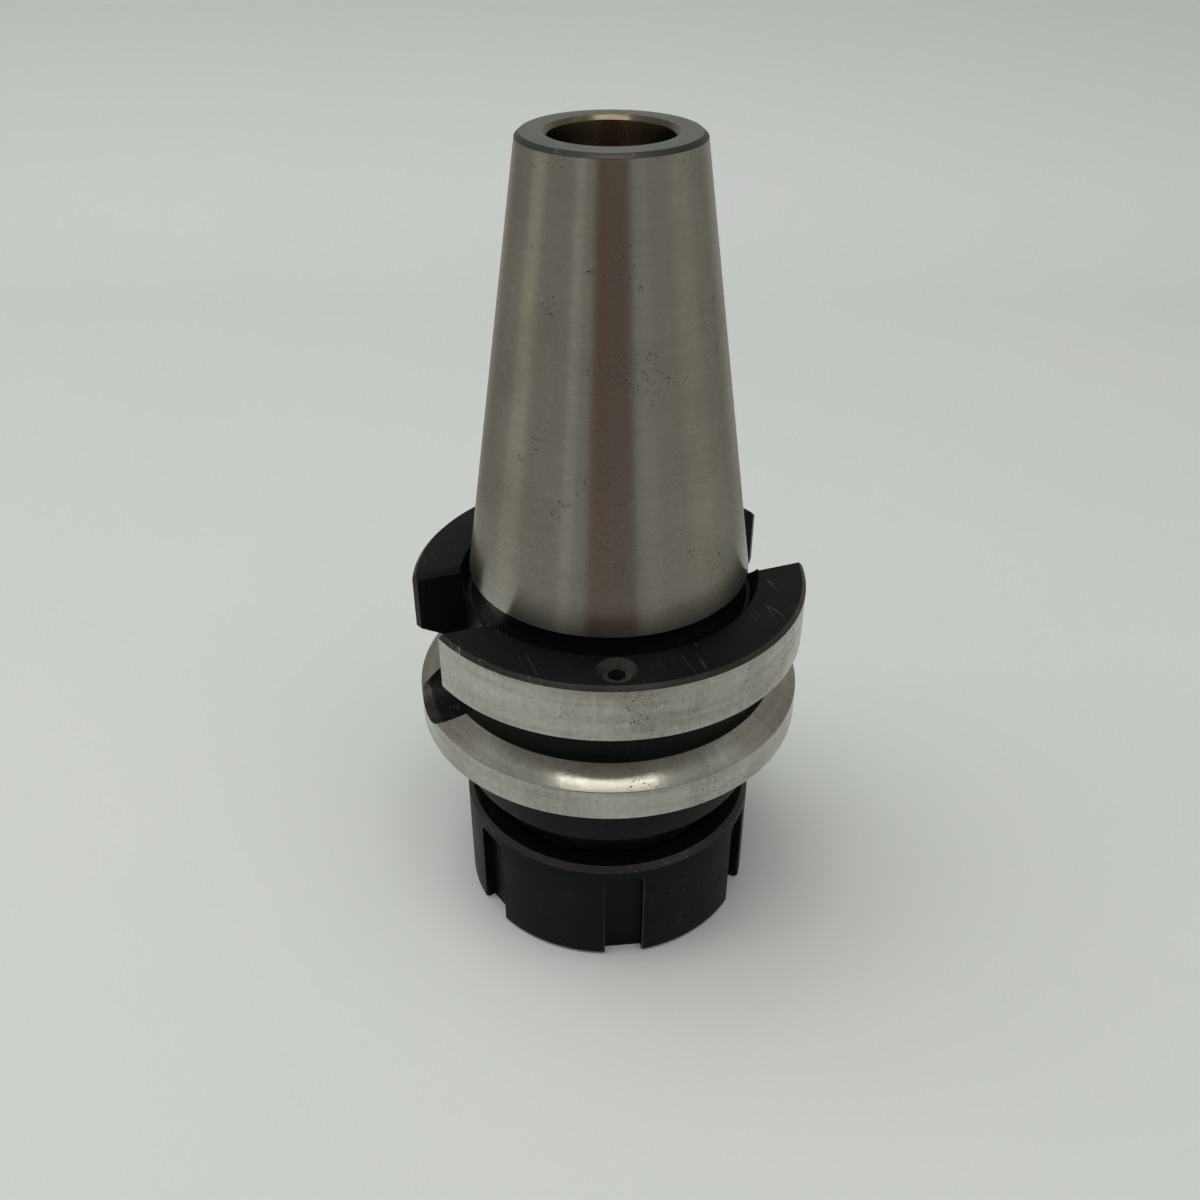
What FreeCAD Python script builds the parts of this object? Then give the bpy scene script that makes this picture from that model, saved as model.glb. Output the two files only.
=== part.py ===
"""Collet chuck holder with a 7:24 steep-taper shank of size 40 and a size 32 clamping nut.

The holder stands on the front face of its clamping nut, shank upwards. The Z axis is the spindle
axis, +Z points to the small end of the taper, and the origin is the centre of the nut's front
face. The two drive slots of the flange lie along X. All lengths are in millimetres.
"""
import FreeCAD
import Part
import math
import os

# ---------------------------------------------------------------- shank and gauge line
GAUGE_DIAMETER = 44.45          # taper diameter at the gauge line
GAUGE_LENGTH = 65.0             # gauge line to the nut's front face
TAPER_RATIO = 7.0 / 24.0        # change of diameter for each unit of length
TAPER_LENGTH = 65.4             # gauge line to the small end
SMALL_END_CHAMFER = 0.6

# ---------------------------------------------------------------- relief at the taper's foot
FOOT_UNDERCUT = 0.9             # step in from the taper to the relief neck
FOOT_NECK_LENGTH = 2.6          # gauge line to the flare of the relief neck
FOOT_FLARE = 0.8                # how far the neck widens to the bottom of the relief
FOOT_DEPTH = 5.2                # gauge line to the bottom of the relief
FOOT_FLOOR_WIDTH = 0.7
FOOT_MOUTH_DIAMETER = 47.8      # relief where it meets the flange face

# ---------------------------------------------------------------- flange with the gripper groove
FLANGE_DIAMETER = 63.0
FLANGE_FACE_GAP = 2.0           # gauge line to the flange face
FLANGE_END_GAP = 27.0           # gauge line to the underside of the flange
FLANGE_EDGE_CHAMFER = 0.65
GROOVE_CENTRE_GAP = 16.6        # gauge line to the middle of the gripper groove
GROOVE_WIDTH = 10.0             # at the flange diameter
GROOVE_DEPTH = 5.0              # flange rim to the floor of the groove
GROOVE_FLANK_ANGLE = 30.0       # each flank from the plane of the flange

# ---------------------------------------------------------------- drive slots
DRIVE_SLOT_WIDTH = 16.1
DRIVE_SLOT_FLOOR = 22.4         # spindle axis to the floor of a slot
DRIVE_SLOT_END_GAP = 15.4       # gauge line to the centre of a slot's round end
DRIVE_SLOT_CHAMFER = 0.8

# ---------------------------------------------------------------- coolant ports of the flange
PORT_EDGE_DISTANCE = 4.25       # flange rim to the centre of a port
PORT_ANGLE = 72.0               # port behind the flange's +X slot, turned about +Z
PORT_THREAD_DIAMETER = 5.0
PORT_MOUTH_DIAMETER = 6.0
PORT_DEPTH = 9.0
PORT_SCREW_LENGTH = 5.0
PORT_SCREW_RECESS = 0.9         # flange face to the top of the screw
PORT_SCREW_HEX = 2.5            # across flats
PORT_SCREW_HEX_DEPTH = 2.6
GALLERY_DIAMETER = 3.0
GALLERY_ANGLE = 45.0            # gallery from the spindle axis

# ---------------------------------------------------------------- collar and nose
COLLAR_DIAMETER = 50.0
COLLAR_NUT_GAP = 5.6            # rear face of the seated nut to the underside of the collar
COLLAR_CHAMFER = 1.1
NOSE_NECK_DIAMETER = 37.6
NOSE_NECK_LENGTH = 2.6
NOSE_THREAD_DIAMETER = 40.0

# ---------------------------------------------------------------- bores of the holder
STUD_THREAD_BORE = 13.84        # wall of the tapped hole for the pull stud
STUD_PILOT_DIAMETER = 17.0
STUD_PILOT_DEPTH = 7.0
STUD_PILOT_CHAMFER = 0.6
STUD_DRILL_DEPTH = 40.0         # small end to the bottom of the drilled hole
COOLANT_BORE_DIAMETER = 8.0
STOP_THREAD_DIAMETER = 16.0
STOP_THREAD_LENGTH = 26.0
SEAT_OVERRUN = 3.0              # how far the collet seat runs on behind the collet

# ---------------------------------------------------------------- collet
COLLET_LENGTH = 40.0
COLLET_MAX_DIAMETER = 33.0
COLLET_STAND_OUT = 3.56         # how much of the long cone stays outside the nose
COLLET_SEAT_ANGLE = 8.0         # half angle of the long cone
COLLET_FRONT_ANGLE = 30.0       # half angle of the short front cone
COLLET_FRONT_DIAMETER = 26.8
COLLET_FRONT_LENGTH = 4.85
COLLET_GROOVE_WIDTH = 3.6
COLLET_GROOVE_DIAMETER = 28.6
COLLET_BORE_DIAMETER = 16.0
COLLET_SLITS = 8                # from each end
COLLET_SLIT_WIDTH = 1.0
COLLET_SLIT_ANGLE = 11.25       # first front slit from +X
COLLET_FRONT_SLIT_WEB = 5.0     # solid ring left at the rear by the front slits
COLLET_REAR_SLIT_WEB = 9.5      # solid ring left at the front by the rear slits
COLLET_RECESS = 0.4             # nut face to the front of the collet

# ---------------------------------------------------------------- clamping nut
NUT_DIAMETER = 50.0
NUT_LENGTH = 20.6
NUT_REAR_CHAMFER = 0.9
NUT_FRONT_CHAMFER = 0.7
NUT_MOUTH_CHAMFER = 1.0         # at the thread's entry
NUT_LIP_DIAMETER = 30.6
NUT_LIP_OFFSET = 0.8            # the lip that pulls the collet out is eccentric
NUT_LIP_SIDE_GAP = 0.5          # lip to each side of the collet's groove
NUT_MOUTH_LAND = 0.9            # straight land at the front opening
NUT_SLOTS = 6
NUT_SLOT_WIDTH = 6.4
NUT_SLOT_DEPTH = 2.0
NUT_SLOT_LENGTH = 18.0
NUT_SLOT_CORNER = 1.2
NUT_SLOT_ANGLE = 16.1           # first slot from +X

# ---------------------------------------------------------------- stop screw
STOP_SCREW_LENGTH = 12.0
STOP_SCREW_GAP = 8.0            # collet to the stop screw
STOP_SCREW_BORE = 4.0
STOP_SCREW_HEX = 8.0
STOP_SCREW_HEX_DEPTH = 6.0

# ---------------------------------------------------------------- clearances
THREAD_CLEARANCE = 0.05         # radial, between the stand-in cylinders of two threads
CONE_CLEARANCE = 0.05           # radial, between a collet cone and its seat
CUT_MARGIN = 1.0                # how far a cutter stands out of what it cuts

# ---------------------------------------------------------------- levels, all from the gauge line
GAUGE_Z = GAUGE_LENGTH
SMALL_END_Z = GAUGE_Z + TAPER_LENGTH
FLANGE_FACE_Z = GAUGE_Z - FLANGE_FACE_GAP
FLANGE_END_Z = GAUGE_Z - FLANGE_END_GAP
GROOVE_CENTRE_Z = GAUGE_Z - GROOVE_CENTRE_GAP
COLLAR_END_Z = NUT_LENGTH + COLLAR_NUT_GAP
DRIVE_SLOT_END_Z = GAUGE_Z - DRIVE_SLOT_END_GAP

GAUGE_RADIUS = GAUGE_DIAMETER / 2
SMALL_END_RADIUS = GAUGE_RADIUS - TAPER_LENGTH * TAPER_RATIO / 2
FLANGE_RADIUS = FLANGE_DIAMETER / 2
PORT_CENTRE_RADIUS = FLANGE_RADIUS - PORT_EDGE_DISTANCE
SEAT_SLOPE = math.tan(math.radians(COLLET_SEAT_ANGLE))
FRONT_SLOPE = math.tan(math.radians(COLLET_FRONT_ANGLE))

# The collet's groove and long cone, counted up from its front face.
COLLET_GROOVE_Z = COLLET_RECESS + COLLET_FRONT_LENGTH
COLLET_CONE_Z = COLLET_GROOVE_Z + COLLET_GROOVE_WIDTH
COLLET_REAR_Z = COLLET_RECESS + COLLET_LENGTH
COLLET_REAR_RADIUS = COLLET_MAX_DIAMETER / 2 - (COLLET_REAR_Z - COLLET_CONE_Z) * SEAT_SLOPE
NOSE_END_Z = COLLET_CONE_Z + COLLET_STAND_OUT
CAVITY_END_Z = COLLET_REAR_Z + SEAT_OVERRUN
STOP_SCREW_Z = COLLET_REAR_Z + STOP_SCREW_GAP


def corner_arc(before, corner, after, radius):
    """Tangent points and the middle of the arc that rounds one corner of an outline."""
    to_before = (before - corner).normalize()
    to_after = (after - corner).normalize()
    half_angle = to_before.getAngle(to_after) / 2
    reach = radius / math.tan(half_angle)
    start = corner + to_before * reach
    end = corner + to_after * reach
    bisector = (to_before + to_after).normalize()
    middle = corner + bisector * (radius / math.sin(half_angle) - radius)
    return start, middle, end


def outlined(corners, radii=None):
    """Flat face inside a closed outline; radii rounds the corners that have those indexes."""
    radii = radii or {}
    count = len(corners)
    joints = []
    for index, corner in enumerate(corners):
        if index in radii:
            before = corners[index - 1]
            after = corners[(index + 1) % count]
            joints.append(corner_arc(before, corner, after, radii[index]))
        else:
            joints.append((corner, None, corner))
    edges = []
    for index, (start, middle, end) in enumerate(joints):
        if middle is not None:
            edges.append(Part.Arc(start, middle, end).toShape())
        edges.append(Part.makeLine(end, joints[(index + 1) % count][0]))
    return Part.Face(Part.Wire(edges))


def turned(points):
    """Solid of revolution about Z from (radius, height) points."""
    corners = [FreeCAD.Vector(radius, 0, height) for radius, height in points]
    return outlined(corners).revolve(FreeCAD.Vector(0, 0, 0), FreeCAD.Vector(0, 0, 1), 360)


def cylinder(diameter, bottom, top, x=0.0, y=0.0):
    """Upright cylinder between two heights."""
    return Part.makeCylinder(diameter / 2, top - bottom, FreeCAD.Vector(x, y, bottom))


def turn_copy(shape, angle):
    """Copy of a shape turned about the Z axis by an angle in degrees."""
    copy = shape.copy()
    copy.rotate(FreeCAD.Vector(0, 0, 0), FreeCAD.Vector(0, 0, 1), angle)
    return copy


def hexagon_prism(across_flats, bottom, top):
    """Upright hexagonal prism on the Z axis, common to three slabs that stand across the axis."""
    slab = Part.makeBox(
        2 * across_flats, across_flats, top - bottom,
        FreeCAD.Vector(-across_flats, -across_flats / 2, bottom),
    )
    return slab.common(turn_copy(slab, 60)).common(turn_copy(slab, 120))


def holder_blank():
    """Outside of the holder: shank, relief, flange with its groove, collar and threaded nose."""
    flank_rise = math.tan(math.radians(GROOVE_FLANK_ANGLE))
    floor_radius = FLANGE_RADIUS - GROOVE_DEPTH
    half_mouth = GROOVE_WIDTH / 2
    half_floor = half_mouth - GROOVE_DEPTH * flank_rise
    neck_radius = GAUGE_RADIUS - FOOT_UNDERCUT
    floor_inner = neck_radius + FOOT_FLARE
    neck_end = COLLAR_END_Z - NOSE_NECK_LENGTH
    nose_radius = NOSE_THREAD_DIAMETER / 2
    chamfer_top = SMALL_END_RADIUS - SMALL_END_CHAMFER
    chamfer_low = SMALL_END_RADIUS + SMALL_END_CHAMFER * TAPER_RATIO / 2
    return turned([
        (0, SMALL_END_Z),
        (chamfer_top, SMALL_END_Z),
        (chamfer_low, SMALL_END_Z - SMALL_END_CHAMFER),
        (GAUGE_RADIUS, GAUGE_Z),
        (neck_radius, GAUGE_Z - FOOT_UNDERCUT),
        (neck_radius, GAUGE_Z - FOOT_NECK_LENGTH),
        (floor_inner, GAUGE_Z - FOOT_DEPTH),
        (floor_inner + FOOT_FLOOR_WIDTH, GAUGE_Z - FOOT_DEPTH),
        (FOOT_MOUTH_DIAMETER / 2, FLANGE_FACE_Z),
        (FLANGE_RADIUS - FLANGE_EDGE_CHAMFER, FLANGE_FACE_Z),
        (FLANGE_RADIUS, FLANGE_FACE_Z - FLANGE_EDGE_CHAMFER),
        (FLANGE_RADIUS, GROOVE_CENTRE_Z + half_mouth),
        (floor_radius, GROOVE_CENTRE_Z + half_floor),
        (floor_radius, GROOVE_CENTRE_Z - half_floor),
        (FLANGE_RADIUS, GROOVE_CENTRE_Z - half_mouth),
        (FLANGE_RADIUS, FLANGE_END_Z),
        (COLLAR_DIAMETER / 2, FLANGE_END_Z),
        (COLLAR_DIAMETER / 2, COLLAR_END_Z + COLLAR_CHAMFER),
        (COLLAR_DIAMETER / 2 - COLLAR_CHAMFER, COLLAR_END_Z),
        (NOSE_NECK_DIAMETER / 2, COLLAR_END_Z),
        (NOSE_NECK_DIAMETER / 2, neck_end),
        (nose_radius, neck_end - (nose_radius - NOSE_NECK_DIAMETER / 2)),
        (nose_radius, NOSE_END_Z),
        (0, NOSE_END_Z),
    ])


def holder_bores():
    """Everything bored on the spindle axis, from the pull-stud thread down to the collet seat."""
    stud_radius = STUD_THREAD_BORE / 2
    pilot_radius = STUD_PILOT_DIAMETER / 2
    coolant_radius = COOLANT_BORE_DIAMETER / 2
    stop_radius = STOP_THREAD_DIAMETER / 2 + THREAD_CLEARANCE
    seat_mouth = COLLET_MAX_DIAMETER / 2 - COLLET_STAND_OUT * SEAT_SLOPE + CONE_CLEARANCE
    seat_end = seat_mouth - (CAVITY_END_Z - NOSE_END_Z) * SEAT_SLOPE
    drill_end = SMALL_END_Z - STUD_DRILL_DEPTH
    stop_end = CAVITY_END_Z + STOP_THREAD_LENGTH
    return turned([
        (0, SMALL_END_Z + CUT_MARGIN),
        (pilot_radius + STUD_PILOT_CHAMFER + CUT_MARGIN, SMALL_END_Z + CUT_MARGIN),
        (pilot_radius + STUD_PILOT_CHAMFER, SMALL_END_Z),
        (pilot_radius, SMALL_END_Z - STUD_PILOT_CHAMFER),
        (pilot_radius, SMALL_END_Z - STUD_PILOT_DEPTH),
        (stud_radius, SMALL_END_Z - STUD_PILOT_DEPTH - (pilot_radius - stud_radius)),
        (stud_radius, drill_end + (stud_radius - coolant_radius)),
        (coolant_radius, drill_end),
        (coolant_radius, stop_end),
        (stop_radius, stop_end),
        (stop_radius, CAVITY_END_Z),
        (seat_end, CAVITY_END_Z),
        (seat_mouth, NOSE_END_Z),
        (seat_mouth + CUT_MARGIN * SEAT_SLOPE, NOSE_END_Z - CUT_MARGIN),
        (0, NOSE_END_Z - CUT_MARGIN),
    ])


def drive_slot():
    """Cutter for the +X drive slot: straight walls, a round end and broken edges."""
    half_width = DRIVE_SLOT_WIDTH / 2
    top = FLANGE_FACE_Z + CUT_MARGIN
    length = FLANGE_RADIUS + CUT_MARGIN - DRIVE_SLOT_FLOOR
    corner = FreeCAD.Vector(DRIVE_SLOT_FLOOR, -half_width, DRIVE_SLOT_END_Z)
    slot = Part.makeBox(length, DRIVE_SLOT_WIDTH, top - DRIVE_SLOT_END_Z, corner)
    end_centre = FreeCAD.Vector(DRIVE_SLOT_FLOOR, 0, DRIVE_SLOT_END_Z)
    slot = slot.fuse(Part.makeCylinder(half_width, length, end_centre, FreeCAD.Vector(1, 0, 0)))
    low = FLANGE_FACE_Z - DRIVE_SLOT_CHAMFER
    flare = DRIVE_SLOT_CHAMFER + CUT_MARGIN
    face_edge = outlined([
        FreeCAD.Vector(DRIVE_SLOT_FLOOR, -half_width, low),
        FreeCAD.Vector(DRIVE_SLOT_FLOOR, -half_width - flare, low + flare),
        FreeCAD.Vector(DRIVE_SLOT_FLOOR, half_width + flare, low + flare),
        FreeCAD.Vector(DRIVE_SLOT_FLOOR, half_width, low),
    ]).extrude(FreeCAD.Vector(length, 0, 0))
    rim_x = math.sqrt(FLANGE_RADIUS ** 2 - half_width ** 2) - DRIVE_SLOT_CHAMFER
    rim_edge = outlined([
        FreeCAD.Vector(rim_x, -half_width, GROOVE_CENTRE_Z),
        FreeCAD.Vector(rim_x + flare, -half_width - flare, GROOVE_CENTRE_Z),
        FreeCAD.Vector(rim_x + flare, half_width + flare, GROOVE_CENTRE_Z),
        FreeCAD.Vector(rim_x, half_width, GROOVE_CENTRE_Z),
    ]).extrude(FreeCAD.Vector(0, 0, top - GROOVE_CENTRE_Z))
    return slot.fuse(face_edge).fuse(rim_edge)


def coolant_port():
    """Cutter for one coolant port: countersunk tapped hole and the gallery to the cavity."""
    hole_radius = PORT_THREAD_DIAMETER / 2 + THREAD_CLEARANCE
    bottom = FLANGE_FACE_Z - PORT_DEPTH
    sink = PORT_MOUTH_DIAMETER / 2 - hole_radius
    hole = turned([
        (0, FLANGE_FACE_Z + CUT_MARGIN),
        (PORT_MOUTH_DIAMETER / 2 + CUT_MARGIN, FLANGE_FACE_Z + CUT_MARGIN),
        (hole_radius + sink, FLANGE_FACE_Z),
        (hole_radius, FLANGE_FACE_Z - sink),
        (hole_radius, bottom),
        (0, bottom),
    ])
    hole.translate(FreeCAD.Vector(PORT_CENTRE_RADIUS, 0, 0))
    angle = math.radians(GALLERY_ANGLE)
    direction = FreeCAD.Vector(-math.sin(angle), 0, -math.cos(angle))
    length = PORT_CENTRE_RADIUS / math.sin(angle)
    start = FreeCAD.Vector(PORT_CENTRE_RADIUS, 0, bottom)
    gallery = Part.makeCylinder(GALLERY_DIAMETER / 2, length, start, direction)
    return turn_copy(hole.fuse(gallery), PORT_ANGLE)


def holder_body():
    """The holder, turned, bored, slotted and drilled from one piece of steel."""
    body = holder_blank().cut(holder_bores())
    for angle in (0, 180):
        body = body.cut(turn_copy(drive_slot(), angle))
        body = body.cut(turn_copy(coolant_port(), angle))
    return body


def port_screw():
    """Headless screw that closes the +Y coolant port."""
    top = FLANGE_FACE_Z - PORT_SCREW_RECESS
    screw = cylinder(PORT_THREAD_DIAMETER, top - PORT_SCREW_LENGTH, top)
    screw = screw.cut(hexagon_prism(PORT_SCREW_HEX, top - PORT_SCREW_HEX_DEPTH, top + CUT_MARGIN))
    screw.translate(FreeCAD.Vector(PORT_CENTRE_RADIUS, 0, 0))
    return turn_copy(screw, PORT_ANGLE)


def stop_screw():
    """Hollow screw behind the collet that sets how deep a tool goes in."""
    bottom = STOP_SCREW_Z
    top = bottom + STOP_SCREW_LENGTH
    screw = cylinder(STOP_THREAD_DIAMETER, bottom, top)
    screw = screw.cut(cylinder(STOP_SCREW_BORE, bottom - CUT_MARGIN, top + CUT_MARGIN))
    return screw.cut(hexagon_prism(STOP_SCREW_HEX, bottom - CUT_MARGIN, bottom + STOP_SCREW_HEX_DEPTH))


def collet_blank():
    """Collet before it is slit: front cone, extraction groove, long cone and bore."""
    front_radius = COLLET_FRONT_DIAMETER / 2
    bore_radius = COLLET_BORE_DIAMETER / 2
    return turned([
        (bore_radius, COLLET_RECESS),
        (front_radius, COLLET_RECESS),
        (front_radius + COLLET_FRONT_LENGTH * FRONT_SLOPE, COLLET_GROOVE_Z),
        (COLLET_GROOVE_DIAMETER / 2, COLLET_GROOVE_Z),
        (COLLET_GROOVE_DIAMETER / 2, COLLET_CONE_Z),
        (COLLET_MAX_DIAMETER / 2, COLLET_CONE_Z),
        (COLLET_REAR_RADIUS, COLLET_REAR_Z),
        (bore_radius, COLLET_REAR_Z),
    ])


def slit(bottom, top):
    """Radial slit from the collet's bore outwards, between two heights."""
    corner = FreeCAD.Vector(0, -COLLET_SLIT_WIDTH / 2, bottom)
    return Part.makeBox(COLLET_MAX_DIAMETER, COLLET_SLIT_WIDTH, top - bottom, corner)


def spring_collet():
    """Collet slit in turn from both ends, so that it closes evenly along its length."""
    spacing = 360 / COLLET_SLITS
    front_slit = slit(COLLET_RECESS - CUT_MARGIN, COLLET_REAR_Z - COLLET_FRONT_SLIT_WEB)
    rear_slit = slit(COLLET_RECESS + COLLET_REAR_SLIT_WEB, COLLET_REAR_Z + CUT_MARGIN)
    cutters = []
    for step in range(COLLET_SLITS):
        angle = COLLET_SLIT_ANGLE + step * spacing
        cutters.append(turn_copy(front_slit, angle))
        cutters.append(turn_copy(rear_slit, angle + spacing / 2))
    return collet_blank().cut(cutters)


def nut_slot():
    """Cutter for one spanner slot of the nut, open at the front, with rounded rear corners."""
    half_width = NUT_SLOT_WIDTH / 2
    floor = NUT_DIAMETER / 2 - NUT_SLOT_DEPTH
    corners = [
        FreeCAD.Vector(floor, -half_width, -CUT_MARGIN),
        FreeCAD.Vector(floor, half_width, -CUT_MARGIN),
        FreeCAD.Vector(floor, half_width, NUT_SLOT_LENGTH),
        FreeCAD.Vector(floor, -half_width, NUT_SLOT_LENGTH),
    ]
    rear_corners = {2: NUT_SLOT_CORNER, 3: NUT_SLOT_CORNER}
    face = outlined(corners, rear_corners)
    return face.extrude(FreeCAD.Vector(NUT_SLOT_DEPTH + CUT_MARGIN, 0, 0))


def clamping_nut():
    """Nut with the 30 degree seat, the eccentric extraction lip and its spanner slots."""
    radius = NUT_DIAMETER / 2
    thread_radius = NOSE_THREAD_DIAMETER / 2 + THREAD_CLEARANCE
    front_radius = COLLET_FRONT_DIAMETER / 2 + CONE_CLEARANCE
    mouth_radius = front_radius + (NUT_MOUTH_LAND - COLLET_RECESS) * FRONT_SLOPE
    seat_radius = front_radius + COLLET_FRONT_LENGTH * FRONT_SLOPE
    lip_bottom = COLLET_GROOVE_Z + NUT_LIP_SIDE_GAP
    lip_top = COLLET_CONE_Z - NUT_LIP_SIDE_GAP
    blank = turned([
        (0, 0),
        (radius - NUT_FRONT_CHAMFER, 0),
        (radius, NUT_FRONT_CHAMFER),
        (radius, NUT_LENGTH - NUT_REAR_CHAMFER),
        (radius - NUT_REAR_CHAMFER, NUT_LENGTH),
        (0, NUT_LENGTH),
    ])
    threaded_room = turned([
        (0, lip_top),
        (thread_radius, lip_top),
        (thread_radius, NUT_LENGTH - NUT_MOUTH_CHAMFER),
        (thread_radius + NUT_MOUTH_CHAMFER + CUT_MARGIN, NUT_LENGTH + CUT_MARGIN),
        (0, NUT_LENGTH + CUT_MARGIN),
    ])
    front_room = turned([
        (0, -CUT_MARGIN),
        (mouth_radius, -CUT_MARGIN),
        (mouth_radius, NUT_MOUTH_LAND),
        (seat_radius, COLLET_GROOVE_Z),
        (seat_radius, lip_bottom),
        (0, lip_bottom),
    ])
    lip_bore = cylinder(NUT_LIP_DIAMETER, lip_bottom, lip_top, NUT_LIP_OFFSET)
    nut = blank.cut([threaded_room, front_room, lip_bore])
    slots = [
        turn_copy(nut_slot(), NUT_SLOT_ANGLE + step * 360 / NUT_SLOTS)
        for step in range(NUT_SLOTS)
    ]
    return nut.cut(slots)


def build():
    """Name and shape of every piece."""
    screw = port_screw()
    return {
        "holder_body": holder_body(),
        "clamping_nut": clamping_nut(),
        "spring_collet": spring_collet(),
        "stop_screw": stop_screw(),
        "port_screw_front": turn_copy(screw, 180),
        "port_screw_rear": screw,
    }


def main():
    """Write one STEP file for each piece."""
    os.makedirs("parts", exist_ok=True)
    for name, shape in build().items():
        solid = shape.removeSplitter().Solids[0]
        print(name, "valid", solid.isValid(), "volume", round(solid.Volume, 1))
        solid.exportStep("parts/" + name + ".step")


main()
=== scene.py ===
"""Dresses the collet chuck holder: turned surfaces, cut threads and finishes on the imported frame.

Lengths in the classes are millimetres in the frame of the part: Z is the spindle axis, the origin
is the centre of the nut's front face, and the drive slots lie along X. Meshes are made in metres,
with every object at the origin.
"""

from __future__ import annotations

import logging
import math
from dataclasses import dataclass, field
from enum import Enum

import bpy
import numpy as np
from mathutils import Matrix, Vector

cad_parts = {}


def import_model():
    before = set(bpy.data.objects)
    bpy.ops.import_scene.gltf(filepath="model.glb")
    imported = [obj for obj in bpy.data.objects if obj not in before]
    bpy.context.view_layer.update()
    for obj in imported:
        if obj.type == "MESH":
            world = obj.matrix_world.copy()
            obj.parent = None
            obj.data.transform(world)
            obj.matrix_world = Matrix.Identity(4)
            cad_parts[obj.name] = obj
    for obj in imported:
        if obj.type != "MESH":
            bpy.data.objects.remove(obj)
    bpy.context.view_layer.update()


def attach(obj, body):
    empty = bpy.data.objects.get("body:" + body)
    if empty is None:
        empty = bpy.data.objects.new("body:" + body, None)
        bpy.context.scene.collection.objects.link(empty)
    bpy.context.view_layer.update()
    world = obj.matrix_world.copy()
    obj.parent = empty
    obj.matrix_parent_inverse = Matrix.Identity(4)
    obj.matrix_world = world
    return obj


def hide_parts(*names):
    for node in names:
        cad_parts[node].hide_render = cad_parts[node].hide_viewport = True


LOG = logging.getLogger("collet_chuck_holder")
MM = 0.001
FULL_TURN = 2 * math.pi
Colour = tuple[float, float, float]


class Body(Enum):
    """The bodies of the frame that pieces ride on."""

    HOLDER = "holder"
    COLLET = "collet"
    NUT = "nut"
    LENGTH_STOP = "length_stop"


class Zone(Enum):
    """The finishes of a piece, in the order of its material slots."""

    TAPER = 0
    OXIDE = 1
    TURNED = 2
    END_FACE = 3
    BORE = 4
    EDGE = 5


# ------------------------------------------------------------------ outlines and turned surfaces


@dataclass(frozen=True)
class Corner:
    """One corner of a turned outline, and the surface that leads from it to the next.

    Attributes:
        radius: distance from the axis.
        height: place along the axis.
        edge: radius that breaks the corner.
        zone: finish of the surface to the next corner.
        rows: divisions of that surface.
    """

    radius: float
    height: float
    edge: float = 0.0
    zone: Zone = Zone.OXIDE
    rows: int = 1


@dataclass(frozen=True)
class Thread:
    """Thread between two heights: outside if its root lies inside its crest, else inside a bore.

    Attributes:
        bottom: lower end.
        top: upper end.
        pitch: advance of one turn.
        crest: radius of the crests.
        root: radius of the roots.
        run_in: length over which the thread deepens from its lower end.
        run_out: length over which it fades to its upper end.
    """

    bottom: float
    top: float
    pitch: float
    crest: float
    root: float
    run_in: float = 0.0
    run_out: float = 0.0

    def cut_into(self, radius: np.ndarray, height: np.ndarray, turn: np.ndarray) -> np.ndarray:
        """Radius of a turned surface once the thread is cut.

        Over one pitch the thread is flat at the crest for an eighth, falls evenly, is flat at the
        root for a quarter and rises evenly. A point's place in the pitch is its height over the
        pitch less its turn, so an inside and an outside thread of one pitch always mesh. The cut
        only ever takes metal away from the turned surface.

        Args:
            radius: radius of each point before.
            height: height of each point.
            turn: angle of each point in whole turns.

        Returns:
            The new radius of each point.
        """
        place = np.abs(((height / self.pitch - turn) % 1.0) * 2 - 1)
        share = np.clip((place - 0.125) / 0.625, 0, 1)
        outside = self.root < self.crest
        if not outside:
            share = 1 - share
        for length, distance in ((self.run_in, height - self.bottom), (self.run_out, self.top - height)):
            if length > 0:
                share = share * np.clip(distance / length, 0, 1)
        wanted = self.crest + (self.root - self.crest) * share
        cut_radius = np.minimum(radius, wanted) if outside else np.maximum(radius, wanted)
        return np.where((height >= self.bottom) & (height <= self.top), cut_radius, radius)


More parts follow.
